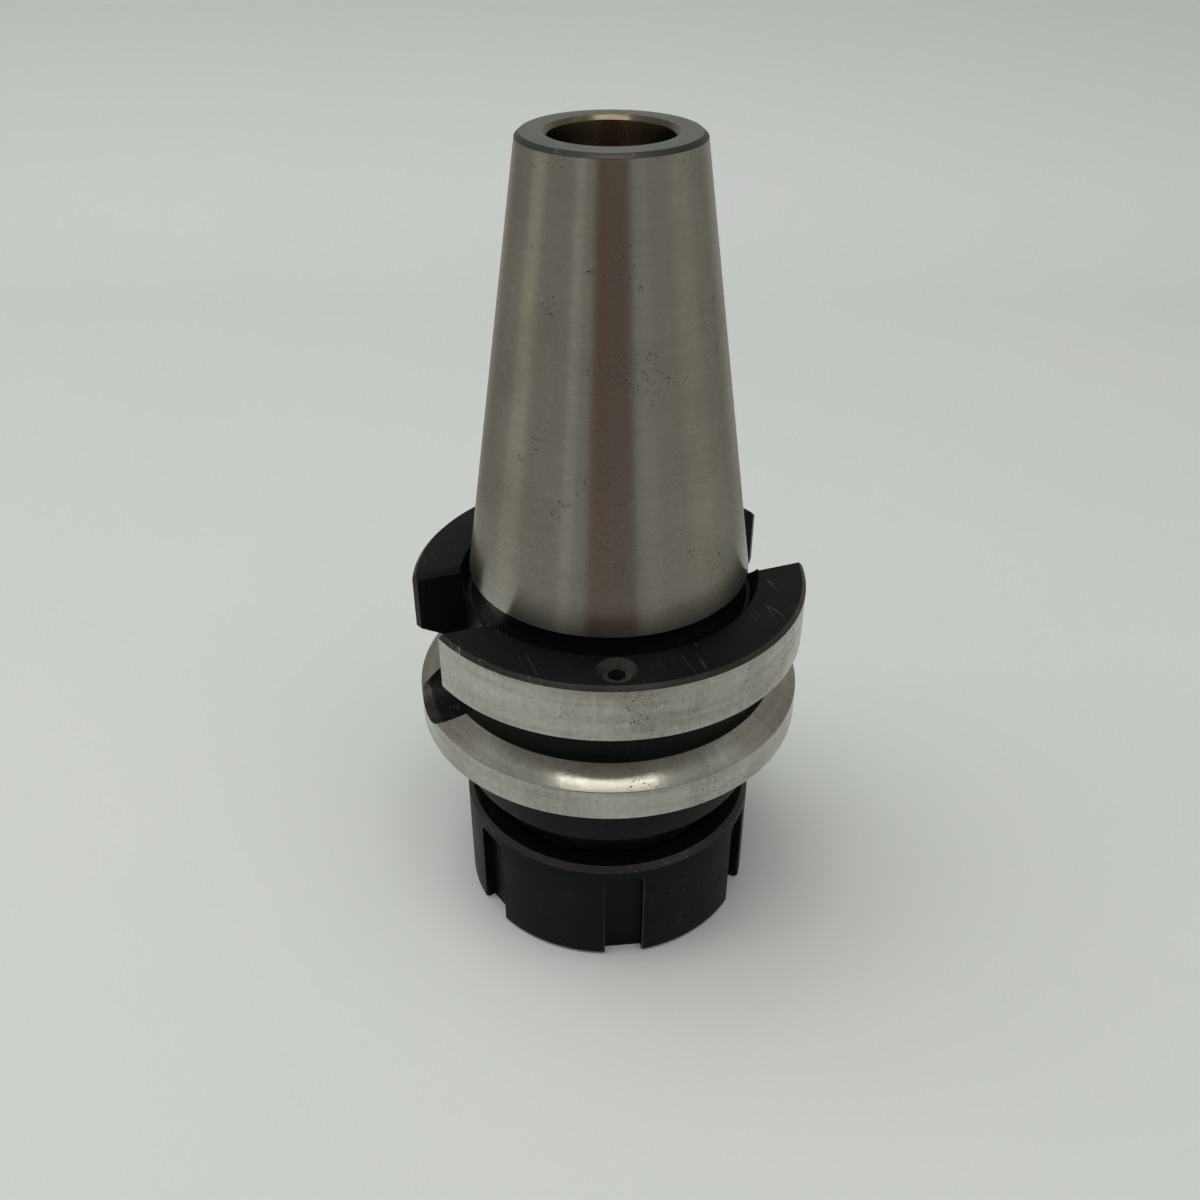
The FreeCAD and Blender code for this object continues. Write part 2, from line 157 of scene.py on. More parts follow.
@dataclass
class Outline:
    """A closed turned outline that becomes a smooth surface of revolution."""

    corners: list[Corner]
    arc_steps: int = 3

    def _edge(self, index: int) -> np.ndarray:
        """Points of one broken corner.

        The arc touches both straight runs: it starts and ends its radius over the tangent of half
        the corner's angle away from the corner, and turns evenly about its centre.

        Args:
            index: which corner.

        Returns:
            (points, 2) radius and height.
        """
        here = self.corners[index]
        spot = np.array([here.radius, here.height])
        if here.edge == 0:
            return spot[None, :]
        before = self.corners[index - 1]
        after = self.corners[(index + 1) % len(self.corners)]
        back = np.array([before.radius, before.height]) - spot
        ahead = np.array([after.radius, after.height]) - spot
        back /= np.linalg.norm(back)
        ahead /= np.linalg.norm(ahead)
        half = math.acos(float(np.clip(back @ ahead, -1, 1))) / 2
        middle = (back + ahead) / np.linalg.norm(back + ahead)
        centre = spot + middle * here.edge / math.sin(half)
        start = spot + back * here.edge / math.tan(half) - centre
        end = spot + ahead * here.edge / math.tan(half) - centre
        sweep = math.pi - 2 * half
        share = np.linspace(0, 1, self.arc_steps + 1)[:, None]
        return centre + (np.sin((1 - share) * sweep) * start + np.sin(share * sweep) * end) / math.sin(sweep)

    def points(self) -> tuple[np.ndarray, np.ndarray]:
        """The whole outline as points, with the zone of the run that follows each point.

        Returns:
            (points, 2) radius and height, and (points,) zone numbers.
        """
        edges = [self._edge(index) for index in range(len(self.corners))]
        rows: list[np.ndarray] = []
        zones: list[np.ndarray] = []
        for index, corner in enumerate(self.corners):
            arc = edges[index]
            following = edges[(index + 1) % len(edges)][0]
            share = np.arange(1, corner.rows)[:, None] / corner.rows
            run = arc[-1] + share * (following - arc[-1])
            rows += [arc, run]
            zones.append(np.full(len(arc) + len(run), corner.zone.value))
        return np.concatenate(rows), np.concatenate(zones)


def add_object(name: str, points: np.ndarray, faces: list[list[int]], zones: np.ndarray | None) -> bpy.types.Object:
    """New mesh object in the scene.

    Args:
        name: object name.
        points: (points, 3) in metres.
        faces: point numbers of each face.
        zones: material slot of each face, or None.

    Returns:
        The new object.
    """
    mesh = bpy.data.meshes.new(name)
    mesh.from_pydata(points.tolist(), [], faces)
    if zones is not None:
        mesh.polygons.foreach_set("material_index", zones.astype(np.int32))
    made = bpy.data.objects.new(name, mesh)
    bpy.context.scene.collection.objects.link(made)
    return made


def revolved(
    name: str, outline: Outline, segments: int = 360, threads: tuple[Thread, ...] = (), offset: float = 0.0
) -> bpy.types.Object:
    """Closed surface of revolution of an outline, with threads cut into it.

    Point (i, j) lies at i / segments of a turn and at outline point j. The quad that starts there
    joins it to the next point round and the next point along, and both counts close on themselves.

    Args:
        name: object name.
        outline: the outline, counter-clockwise seen with radius to the right and height up.
        segments: divisions round the axis.
        threads: threads cut into its cylinders.
        offset: how far the axis of the surface lies from the spindle axis, towards +X.

    Returns:
        The new object.
    """
    profile, zones = outline.points()
    turn = (np.arange(segments) / segments)[:, None]
    height = np.repeat(profile[None, :, 1], segments, axis=0)
    radius = np.repeat(profile[None, :, 0], segments, axis=0)
    for thread in threads:
        radius = thread.cut_into(radius, height, turn)
    x = radius * np.cos(turn * FULL_TURN) + offset
    y = radius * np.sin(turn * FULL_TURN)
    points = np.stack([x, y, height], axis=-1).reshape(-1, 3) * MM
    number = np.arange(radius.size).reshape(radius.shape)
    beside = np.roll(number, -1, axis=0)
    quads = np.stack([number, beside, np.roll(beside, -1, axis=1), np.roll(number, -1, axis=1)], axis=-1)
    made = add_object(name, points, quads.reshape(-1, 4).tolist(), np.tile(zones, segments))
    if profile[:, 0].min() == 0:
        close_poles(made)
    return made


def close_poles(piece: bpy.types.Object) -> None:
    """Merges the coincident points on the axis, so that a pole is one point."""
    weld = piece.modifiers.new("weld", "WELD")
    weld.merge_threshold = 1e-7
    settle(piece)


def prism(
    name: str, sections: np.ndarray, levels: np.ndarray, placed: Matrix, zones: tuple[Zone, ...]
) -> bpy.types.Object:
    """Closed prism whose outline may change from level to level.

    Wall quad (k, j) joins points j and j + 1 of level k to the same points of level k + 1. The
    first and last levels are capped.

    Args:
        name: object name.
        sections: (levels, points, 2) outline at each level, counter-clockwise about +Z.
        levels: (levels,) heights.
        placed: where the prism goes.
        zones: finish of each storey's walls; the caps take the first.

    Returns:
        The new object.
    """
    count = sections.shape[1]
    high = np.repeat(levels[:, None, None], count, axis=1)
    matrix = np.array(placed)
    points = np.concatenate([sections, high], axis=-1).reshape(-1, 3)
    points = (points @ matrix[:3, :3].T + matrix[:3, 3]) * MM
    number = np.arange(len(points)).reshape(len(levels), count)
    low, top = number[:-1], number[1:]
    quads = np.stack([low, np.roll(low, -1, axis=1), np.roll(top, -1, axis=1), top], axis=-1)
    faces = quads.reshape(-1, 4).tolist() + [number[0, ::-1].tolist(), number[-1].tolist()]
    numbers = np.array([zone.value for zone in zones])
    walls = np.append(np.repeat(numbers, count), [numbers[0], numbers[0]])
    return add_object(name, points, faces, walls)


def circle(radius: float, count: int) -> np.ndarray:
    """Points of a circle, counter-clockwise.

    Args:
        radius: its radius.
        count: number of points.

    Returns:
        (count, 2) places.
    """
    angle = np.arange(count) * FULL_TURN / count
    return np.stack([radius * np.cos(angle), radius * np.sin(angle)], axis=-1)


def about_axis(degrees: float) -> Matrix:
    """Turn about the spindle axis."""
    return Matrix.Rotation(math.radians(degrees), 4, "Z")


def facing_out(degrees: float) -> Matrix:
    """Place whose own Z points away from the spindle axis, own X round it and own Y along it."""
    return about_axis(degrees) @ Matrix(((0, 0, 1, 0), (1, 0, 0, 0), (0, 1, 0, 0), (0, 0, 0, 1)))


# ------------------------------------------------------------------ finishing a mesh


def settle(piece: bpy.types.Object) -> None:
    """Applies the modifiers of a piece to its mesh."""
    graph = bpy.context.evaluated_depsgraph_get()
    graph.update()
    settled = bpy.data.meshes.new_from_object(piece.evaluated_get(graph))
    piece.modifiers.clear()
    raw = piece.data
    piece.data = settled
    settled.name = piece.name
    bpy.data.meshes.remove(raw)


def cut(piece: bpy.types.Object, cutters: list[bpy.types.Object]) -> None:
    """Cuts solids out of a piece and removes the cutters.

    Args:
        piece: the piece.
        cutters: closed solids, with the piece's zones on their faces.
    """
    for cutter in cutters:
        change = piece.modifiers.new("cut", "BOOLEAN")
        change.operation = "DIFFERENCE"
        change.solver = "EXACT"
        change.object = cutter
    settle(piece)
    for cutter in cutters:
        bpy.data.objects.remove(cutter)


def smooth(piece: bpy.types.Object, sharpest: float = 32.0) -> None:
    """Shades a piece smooth, apart from edges that turn by more than an angle in degrees."""
    piece.data.shade_smooth()
    piece.data.set_sharp_from_angle(angle=math.radians(sharpest))
    piece.data.update()


def dress(
    piece: bpy.types.Object, finishes: list[Finish], body: Body, nodes: tuple[str, ...]
) -> None:
    """Gives a finished piece its materials, its body and the CAD nodes that it stands for.

    Args:
        piece: the piece.
        finishes: one for each of its material slots.
        body: what it moves with.
        nodes: the CAD nodes that it replaces.
    """
    smooth(piece)
    for number, finish in enumerate(finishes):
        if number < len(piece.data.materials):
            piece.data.materials[number] = finish.build()
        else:
            piece.data.materials.append(finish.build())
    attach(piece, body.value)
    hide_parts(*nodes)
    LOG.info("%s: %d faces, rides on %s", piece.name, len(piece.data.polygons), body.value)


def list_zones(pieces: list[bpy.types.Object]) -> None:
    """Gives each mesh an empty material slot per zone, so that a cut keeps every face's zone."""
    for piece in pieces:
        numbers = np.empty(len(piece.data.polygons), np.int32)
        piece.data.polygons.foreach_get("material_index", numbers)
        for zone in Zone:
            name = f"zone_{zone.name.lower()}"
            piece.data.materials.append(bpy.data.materials.get(name) or bpy.data.materials.new(name))
        piece.data.polygons.foreach_set("material_index", numbers)


# ------------------------------------------------------------------ wiring of shader nodes


@dataclass
class Wiring:
    """Short calls for wiring one node tree."""

    tree: bpy.types.NodeTree

    def node(self, kind: str, **values: object) -> bpy.types.Node:
        """New node with its own settings."""
        made = self.tree.nodes.new(kind)
        for label, value in values.items():
            setattr(made, label, value)
        return made

    def feed(self, socket: bpy.types.NodeSocket, value: object) -> None:
        """Links an output into a socket, or sets the socket to a plain value."""
        if isinstance(value, bpy.types.NodeSocket):
            self.tree.links.new(value, socket)
        else:
            socket.default_value = value

    def math(self, operation: str, *values: object) -> bpy.types.NodeSocket:
        """Number made from one, two or three values."""
        made = self.node("ShaderNodeMath", operation=operation)
        for socket, value in zip(made.inputs, values):
            self.feed(socket, value)
        return made.outputs[0]

    def span(self, value: object, start: float, end: float, low: float = 0.0, high: float = 1.0) -> bpy.types.NodeSocket:
        """Maps start..end to low..high, held at both ends."""
        made = self.node("ShaderNodeMapRange")
        for socket, number in zip(made.inputs, (value, start, end, low, high)):
            self.feed(socket, number)
        return made.outputs[0]

    def noise(self, vector: object, scale: float, detail: float = 2.0) -> bpy.types.NodeSocket:
        """Soft noise from 0 to 1, with a scale in cells per unit of the vector."""
        made = self.node("ShaderNodeTexNoise")
        self.feed(made.inputs["Vector"], vector)
        made.inputs["Scale"].default_value = scale
        made.inputs["Detail"].default_value = detail
        return made.outputs["Fac"]

    def stretched(self, vector: object, scale: Colour, turn: Colour = (0.0, 0.0, 0.0)) -> bpy.types.NodeSocket:
        """Vector turned, then scaled along each axis."""
        made = self.node("ShaderNodeMapping")
        self.feed(made.inputs["Vector"], vector)
        made.inputs["Rotation"].default_value = turn
        made.inputs["Scale"].default_value = scale
        return made.outputs["Vector"]

    def mix(self, share: object, first: object, second: object) -> bpy.types.NodeSocket:
        """Blend of two colours."""
        made = self.node("ShaderNodeMix", data_type="RGBA")
        for number, value in zip((0, 6, 7), (share, first, second)):
            self.feed(made.inputs[number], (*value, 1.0) if isinstance(value, tuple) else value)
        return made.outputs[2]

    def group(self, tree: bpy.types.NodeTree, **inputs: object) -> bpy.types.NodeOutputs:
        """Outputs of a placed group; underscores stand for spaces in its input names."""
        made = self.node("ShaderNodeGroup", node_tree=tree)
        for label, value in inputs.items():
            self.feed(made.inputs[label.replace("_", " ")], value)
        return made.outputs


def new_group(name: str, numbers: dict[str, float], outputs: dict[str, str]) -> tuple[Wiring, dict, dict]:
    """Empty shader group with a vector input, number inputs and the given outputs.

    Args:
        name: group name.
        numbers: number inputs and their usual values.
        outputs: output names and kinds of socket.

    Returns:
        The wiring of the group, its inputs by name and its outputs by name.
    """
    tree = bpy.data.node_groups.new(name, "ShaderNodeTree")
    tree.interface.new_socket("Vector", in_out="INPUT", socket_type="NodeSocketVector")
    for label, value in numbers.items():
        socket = tree.interface.new_socket(label, in_out="INPUT", socket_type="NodeSocketFloat")
        socket.default_value = value
    for label, kind in outputs.items():
        tree.interface.new_socket(label, in_out="OUTPUT", socket_type=f"NodeSocket{kind}")
    given = tree.nodes.new("NodeGroupInput").outputs
    made = tree.nodes.new("NodeGroupOutput").inputs
    return Wiring(tree), {socket.name: socket for socket in given}, {socket.name: socket for socket in made}


def unrolled_surface() -> bpy.types.NodeTree:
    """Group: distance round, distance along and distance from the axis of a turned surface.

    The distance round is arctan2(y, x) times a mean radius; the radius is the root of x^2 + y^2.
    """
    name = "unrolled_surface"
    if name in bpy.data.node_groups:
        return bpy.data.node_groups[name]
    wires, given, made = new_group(name, {"Mean radius": 0.02}, {"Unrolled": "Vector", "Angle": "Float"})
    apart = wires.node("ShaderNodeSeparateXYZ")
    wires.feed(apart.inputs[0], given["Vector"])
    x, y, z = apart.outputs
    angle = wires.math("ARCTAN2", y, x)
    radius = wires.math("SQRT", wires.math("MULTIPLY_ADD", x, x, wires.math("MULTIPLY", y, y)))
    joined = wires.node("ShaderNodeCombineXYZ")
    wires.feed(joined.inputs[0], wires.math("MULTIPLY", angle, given["Mean radius"]))
    wires.feed(joined.inputs[1], z)
    wires.feed(joined.inputs[2], radius)
    wires.feed(made["Unrolled"], joined.outputs[0])
    wires.feed(made["Angle"], angle)
    return wires.tree


def tool_marks() -> bpy.types.NodeTree:
    """Group: the rings that a tool or wheel leaves, and the fainter chatter along the axis.

    Rings are noise stretched fifty times round the surface. Chatter is noise stretched as far
    along it. Height is their sum; Tone is a broader set of rings.
    """
    name = "tool_marks"
    if name in bpy.data.node_groups:
        return bpy.data.node_groups[name]
    wires, given, made = new_group(
        name, {"Rings per metre": 7000.0, "Chatter": 0.3}, {"Height": "Float", "Tone": "Float"}
    )
    scaled = wires.node("ShaderNodeVectorMath", operation="SCALE")
    wires.feed(scaled.inputs[0], given["Vector"])
    wires.feed(scaled.inputs["Scale"], given["Rings per metre"])
    rings = wires.noise(wires.stretched(scaled.outputs[0], (0.02, 1.0, 1.0)), 1.0, 3.0)
    broad = wires.noise(wires.stretched(scaled.outputs[0], (0.01, 0.17, 0.17)), 1.0, 2.0)
    along = wires.noise(wires.stretched(scaled.outputs[0], (0.35, 0.004, 0.004)), 1.0, 2.0)
    chatter = wires.math("MULTIPLY", along, given["Chatter"])
    wires.feed(made["Height"], wires.math("ADD", rings, chatter))
    wires.feed(made["Tone"], wires.math("MULTIPLY_ADD", chatter, 0.6, broad))
    return wires.tree


def pits_and_scratches() -> bpy.types.NodeTree:
    """Group: small dark pits in clusters, and thin scratches in two directions.

    Pits are the middles of Voronoi cells, kept where a broad noise is high. Scratches follow the
    middle value of a noise that is stretched along a slanted direction.
    """
    name = "pits_and_scratches"
    if name in bpy.data.node_groups:
        return bpy.data.node_groups[name]
    wires, given, made = new_group(
        name, {"Pits per metre": 1800.0, "Cluster": 0.55}, {"Pits": "Float", "Scratches": "Float"}
    )
    vector = given["Vector"]
    cells = wires.node("ShaderNodeTexVoronoi", feature="F1")
    wires.feed(cells.inputs["Vector"], vector)
    wires.feed(cells.inputs["Scale"], given["Pits per metre"])
    size = wires.math("MULTIPLY", wires.noise(vector, 900.0, 1.0), 0.42)
    inside = wires.math("SUBTRACT", size, cells.outputs["Distance"])
    spot = wires.span(inside, 0.0, 0.06)
    crowd = wires.math("SUBTRACT", wires.noise(vector, 150.0, 3.0), given["Cluster"])
    wires.feed(made["Pits"], wires.math("MULTIPLY", spot, wires.span(crowd, 0.0, 0.05)))
    lines = []
    for turn, seed in (((0.5, 0.3, 0.9), 0.0), ((-0.6, 0.9, 0.2), 5.0)):
        moved = wires.stretched(vector, (1.0, 0.05, 1.0), turn)
        field_value = wires.noise(moved, 500.0 + seed * 40, 0.0)
        thin = wires.span(wires.math("ABSOLUTE", wires.math("SUBTRACT", field_value, 0.5)), 0.0, 0.008, 1.0, 0.0)
        kept = wires.span(wires.noise(vector, 130.0 + seed * 9, 1.0), 0.58, 0.62)
        lines.append(wires.math("MULTIPLY", thin, kept))
    wires.feed(made["Scratches"], wires.math("MAXIMUM", *lines))
    return wires.tree


def soft_stains() -> bpy.types.NodeTree:
    """Group: cloudy stains at two sizes, from 0 to 1, and a finer mottle."""
    name = "soft_stains"
    if name in bpy.data.node_groups:
        return bpy.data.node_groups[name]
    wires, given, made = new_group(name, {}, {"Stain": "Float", "Mottle": "Float"})
    broad = wires.span(wires.noise(given["Vector"], 75.0, 5.0), 0.38, 0.68)
    wires.feed(made["Stain"], broad)
    wires.feed(made["Mottle"], wires.span(wires.noise(given["Vector"], 1100.0, 4.0), 0.32, 0.68))
    return wires.tree


# ------------------------------------------------------------------ finishes


@dataclass(frozen=True)
class Finish:
    """A finish that becomes one material, made once and shared."""

    name: str

    def build(self) -> bpy.types.Material:
        """The material of this finish.

        Returns:
            The material.
        """
        if self.name not in bpy.data.materials:
            material = bpy.data.materials.new(self.name)
            material.use_nodes = True
            self.wire(Wiring(material.node_tree), material.node_tree.nodes["Principled BSDF"])
        return bpy.data.materials[self.name]

    def wire(self, wires: Wiring, shader: bpy.types.Node) -> None:
        """Wires the shader.

        Args:
            wires: wiring of the material.
            shader: its Principled node.
        """
        raise NotImplementedError


@dataclass(frozen=True)
class BareSteel(Finish):
    """Ground or turned steel without a coating.

    Attributes:
        colour: clean metal.
        stain_colour: metal under a stain or between rings.
        roughness: mean roughness.
        lay: how far the gloss is drawn out across the tool marks, 0 to 1.
        stain: strength of the cloudy stains.
        mottle: strength of the fine mottle.
        tone: strength of the visible rings.
        rings: rings per metre.
        ring_height: depth of the rings in metres.
        chatter: share of chatter in the tool marks.
        pits: strength of the pits.
        cluster: value above which pits crowd; higher is rarer.
        scratches: strength of the scratches.
        mean_radius: radius at which the surface is unrolled, in metres.
    """

    colour: Colour = (0.4, 0.385, 0.35)
    stain_colour: Colour = (0.27, 0.26, 0.225)
    roughness: float = 0.26
    lay: float = 0.88
    stain: float = 0.4
    mottle: float = 0.15
    tone: float = 0.2
    rings: float = 6500.0
    ring_height: float = 0.0000006
    chatter: float = 0.7
    pits: float = 0.8
    cluster: float = 0.58
    scratches: float = 0.3
    mean_radius: float = 0.018

    def wire(self, wires: Wiring, shader: bpy.types.Node) -> None:
        """Wires tool marks, stains, pits and scratches over the metal."""
        place = wires.node("ShaderNodeTexCoord").outputs["Object"]
        surface = wires.group(unrolled_surface(), Vector=place, Mean_radius=self.mean_radius)["Unrolled"]
        marks = wires.group(tool_marks(), Vector=surface, Rings_per_metre=self.rings, Chatter=self.chatter)
        wear = wires.group(pits_and_scratches(), Vector=place, Cluster=self.cluster)
        clouds = wires.group(soft_stains(), Vector=place)
        ringed = wires.math("MULTIPLY", wires.span(marks["Tone"], 0.4, 0.8), self.tone)
        stained = wires.math("MULTIPLY", clouds["Stain"], self.stain)
        speckled = wires.math("MULTIPLY", clouds["Mottle"], self.mottle)
        share = wires.math("MINIMUM", wires.math("ADD", wires.math("ADD", ringed, stained), speckled), 1.0)
        metal = wires.mix(share, self.colour, self.stain_colour)
        pit = wires.math("MULTIPLY", wear["Pits"], self.pits)
        pitted = wires.mix(pit, metal, (0.035, 0.03, 0.025))
        line = wires.math("MULTIPLY", wear["Scratches"], self.scratches)
        wires.feed(shader.inputs["Base Color"], wires.mix(line, pitted, (0.75, 0.74, 0.7)))
        rough = wires.span(share, 0.0, 1.0, self.roughness - 0.04, self.roughness + 0.08)
        wires.feed(shader.inputs["Roughness"], wires.math("MULTIPLY_ADD", pit, 0.35, rough))
        shader.inputs["Metallic"].default_value = 1.0
        shader.inputs["Anisotropic"].default_value = self.lay
        shader.inputs["Anisotropic Rotation"].default_value = 0.25
        around = wires.node("ShaderNodeTangent", direction_type="RADIAL", axis="Z")
        wires.feed(shader.inputs["Tangent"], around.outputs[0])
        bump = wires.node("ShaderNodeBump")
        bump.inputs["Distance"].default_value = self.ring_height
        wires.feed(bump.inputs["Height"], wires.math("MULTIPLY_ADD", pit, -2.0, marks["Height"]))
        wires.feed(shader.inputs["Normal"], bump.outputs["Normal"])


@dataclass(frozen=True)
class BlackOxide(Finish):
    """Steel with a thin black oxide skin.

    Attributes:
        colour: the skin.
        thin_colour: the skin where it is thin or rubbed.
        roughness: mean roughness.
        gloss: strength of its reflection, 0.5 being that of glass.
        rub: share of the surface that is rubbed thin.
        scratches: strength of light scratches.
        rings: tool marks per metre under the skin.
        ring_height: depth of those marks in metres.
    """

    colour: Colour = (0.0025, 0.0032, 0.003)
    thin_colour: Colour = (0.009, 0.0088, 0.0075)
    roughness: float = 0.4
    gloss: float = 0.22
    rub: float = 0.5
    scratches: float = 0.08
    rings: float = 4500.0
    ring_height: float = 0.0000009

    def wire(self, wires: Wiring, shader: bpy.types.Node) -> None:
        """Wires the skin, its rubbed places, light scratches and the tool marks under it."""
        place = wires.node("ShaderNodeTexCoord").outputs["Object"]
        surface = wires.group(unrolled_surface(), Vector=place)["Unrolled"]
        marks = wires.group(tool_marks(), Vector=surface, Rings_per_metre=self.rings)
        wear = wires.group(pits_and_scratches(), Vector=place)
        clouds = wires.group(soft_stains(), Vector=place)
        rubbed = wires.math("MULTIPLY", clouds["Stain"], self.rub)
        rubbed = wires.math("MULTIPLY_ADD", clouds["Mottle"], 0.15, rubbed)
        skin = wires.mix(rubbed, self.colour, self.thin_colour)
        line = wires.math("MULTIPLY", wear["Scratches"], self.scratches)
        wires.feed(shader.inputs["Base Color"], wires.mix(line, skin, (0.5, 0.5, 0.48)))
        wires.feed(
            shader.inputs["Roughness"],
            wires.span(clouds["Mottle"], 0.0, 1.0, self.roughness - 0.05, self.roughness + 0.05),
        )
        shader.inputs["Specular IOR Level"].default_value = self.gloss
        bump = wires.node("ShaderNodeBump")
        bump.inputs["Distance"].default_value = self.ring_height
        wires.feed(bump.inputs["Height"], marks["Height"])
        wires.feed(shader.inputs["Normal"], bump.outputs["Normal"])


GROUND_TAPER = BareSteel("ground_taper")
TURNED_RIM = BareSteel(
    "turned_rim", (0.56, 0.545, 0.5), (0.3, 0.285, 0.25), 0.22, 0.75, stain=0.4, mottle=0.22,
    tone=0.4, rings=4200.0, ring_height=0.000001, cluster=0.54, scratches=0.2, mean_radius=0.031,
)
SATIN_END = BareSteel(
    "satin_end_face", (0.33, 0.33, 0.32), (0.22, 0.22, 0.21), 0.42, 0.4, stain=0.3, mottle=0.3,
    tone=0.15, rings=5000.0, cluster=0.66, scratches=0.2,
)
STUD_BORE = BareSteel(
    "stud_bore", (0.3, 0.25, 0.18), (0.11, 0.085, 0.06), 0.24, 0.5, stain=0.7, tone=0.4,
    rings=2600.0, ring_height=0.000002, chatter=0.2, cluster=0.6, mean_radius=0.0085,
)
SPRING_STEEL = BareSteel(
    "ground_spring_steel", (0.46, 0.45, 0.42), (0.3, 0.29, 0.26), 0.28, 0.7, stain=0.35, tone=0.15,
    cluster=0.62, mean_radius=0.015,
)
HOLDER_OXIDE = BlackOxide("holder_black_oxide", gloss=0.12, rub=0.4)
NUT_OXIDE = BlackOxide("nut_black_oxide", (0.002, 0.0033, 0.003), (0.005, 0.0062, 0.0055), 0.42, 0.08, scratches=0.07)
RUBBED_EDGE = BlackOxide(
    "rubbed_black_edge", (0.009, 0.0085, 0.007), (0.03, 0.0275, 0.023), 0.34, 0.35, rub=0.8, scratches=0.3
)
SCREW_OXIDE = BlackOxide("screw_black_oxide", (0.009, 0.009, 0.009), (0.04, 0.038, 0.034), 0.3, 0.5, rub=0.6)
FINISH_OF_ZONE = {
    Zone.TAPER: GROUND_TAPER,
    Zone.OXIDE: HOLDER_OXIDE,
    Zone.TURNED: TURNED_RIM,
    Zone.END_FACE: SATIN_END,
    Zone.BORE: STUD_BORE,
    Zone.EDGE: RUBBED_EDGE,
}


# ------------------------------------------------------------------ sub-assemblies


@dataclass
class Holder:
    """The one-piece holder: taper shank, relief, grooved flange, collar and threaded nose."""

    gauge: float = 65.0
    gauge_radius: float = 22.225
    taper_slope: float = 7 / 48
    taper_length: float = 65.4
    small_chamfer: float = 0.6
    foot_undercut: float = 0.9
    foot_neck: float = 2.6
    foot_flare: float = 0.8
    foot_depth: float = 5.2
    foot_floor: float = 0.7
    foot_mouth: float = 23.9
    flange_radius: float = 31.5
    flange_face: float = 63.0
    flange_end: float = 38.0
    flange_chamfer: float = 0.65
    groove_centre: float = 48.4
    groove_half_mouth: float = 5.0
    groove_depth: float = 5.0
    groove_angle: float = 30.0
    groove_root: float = 0.8
    bright_from: float = 27.5
    collar_radius: float = 25.0
    collar_end: float = 26.2
    collar_chamfer: float = 1.1
    neck_radius: float = 18.8
    neck_end: float = 23.6
    nose_radius: float = 20.0
    nose_end: float = 12.41
    nose_chamfer: float = 0.85
    seat_mouth: float = 16.05
    seat_end: float = 11.694
    cavity_end: float = 43.4
    stop_bore: float = 8.05
    stop_end: float = 69.4
    coolant_bore: float = 4.0
    pilot_radius: float = 8.5
    pilot_depth: float = 7.0
    pilot_chamfer: float = 0.6
    drill_depth: float = 40.0
    slot_half_width: float = 8.05
    slot_floor: float = 22.4
    slot_end: float = 49.6
    slot_chamfer: float = 0.8
    port_radius: float = 27.25
    port_angle: float = 72.0
    port_depth: float = 9.0
    port_mouth: float = 3.0
    gallery_radius: float = 1.5
    over: float = 1.0
    edge: float = 0.12

    def __post_init__(self) -> None:
        """Threads of the nose, the stud bore and the ports, from the sizes above."""
        small = self.gauge + self.taper_length
        self.nose_thread = Thread(self.nose_end, 22.4, 1.5, self.nose_radius, 19.15, run_out=1.5)
        self.stud_thread = Thread(small - 24.0, small - self.pilot_depth, 2.0, 6.92, 8.0, run_in=2.0)
        self.stop_thread = Thread(self.cavity_end, self.stop_end, 1.5, 7.25, self.stop_bore)
        self.port_thread = Thread(self.flange_face - 7.0, self.flange_face, 0.8, 2.1, 2.5, run_in=0.8)

    def outside(self) -> list[Corner]:
        """Outside of the holder from the nose up to the small end."""
        rise = math.tan(math.radians(self.groove_angle))
        floor = self.flange_radius - self.groove_depth
        half_floor = self.groove_half_mouth - self.groove_depth * rise
        bright = self.groove_half_mouth - (self.flange_radius - self.bright_from) * rise
        neck = self.gauge_radius - self.foot_undercut
        small = self.gauge + self.taper_length
        small_radius = self.gauge_radius - self.taper_length * self.taper_slope
        rim, middle, edge = self.flange_radius, self.groove_centre, self.edge
        return [
            Corner(self.seat_mouth, self.nose_end, edge),
            Corner(self.nose_radius - self.nose_chamfer, self.nose_end, edge, rows=4),
            Corner(self.nose_radius, self.nose_end + self.nose_chamfer, rows=72),
            Corner(self.nose_radius, self.neck_end - (self.nose_radius - self.neck_radius)),
            Corner(self.neck_radius, self.neck_end, 0.2),
            Corner(self.neck_radius, self.collar_end, 0.3),
            Corner(self.collar_radius - self.collar_chamfer, self.collar_end, edge, Zone.EDGE),
            Corner(self.collar_radius, self.collar_end + self.collar_chamfer, edge, rows=2),
            Corner(self.collar_radius, self.flange_end, 0.4),
            Corner(self.bright_from, self.flange_end, zone=Zone.TURNED),
            Corner(rim, self.flange_end, 0.3, Zone.TURNED, 2),
            Corner(rim, middle - self.groove_half_mouth, 0.2, Zone.TURNED, 3),
            Corner(self.bright_from, middle - bright),
            Corner(floor, middle - half_floor, self.groove_root),
            Corner(floor, middle + half_floor, self.groove_root),
            Corner(self.bright_from, middle + bright, zone=Zone.TURNED, rows=3),
            Corner(rim, middle + self.groove_half_mouth, 0.2, Zone.TURNED, 2),
            Corner(rim, self.flange_face - self.flange_chamfer, edge, Zone.EDGE),
            Corner(rim - self.flange_chamfer, self.flange_face, edge, rows=2),
            Corner(self.foot_mouth, self.flange_face, 0.15),
            Corner(neck + self.foot_flare + self.foot_floor, self.gauge - self.foot_depth, 0.2),
            Corner(neck + self.foot_flare, self.gauge - self.foot_depth, 0.2),
            Corner(neck, self.gauge - self.foot_neck, 0.3),
            Corner(neck, self.gauge - self.foot_undercut, 0.2),
            Corner(self.gauge_radius, self.gauge, edge, Zone.TAPER, 8),
            Corner(small_radius + self.small_chamfer * self.taper_slope, small - self.small_chamfer, 0.1, Zone.EDGE),
            Corner(small_radius - self.small_chamfer, small, 0.15, Zone.END_FACE),
        ]

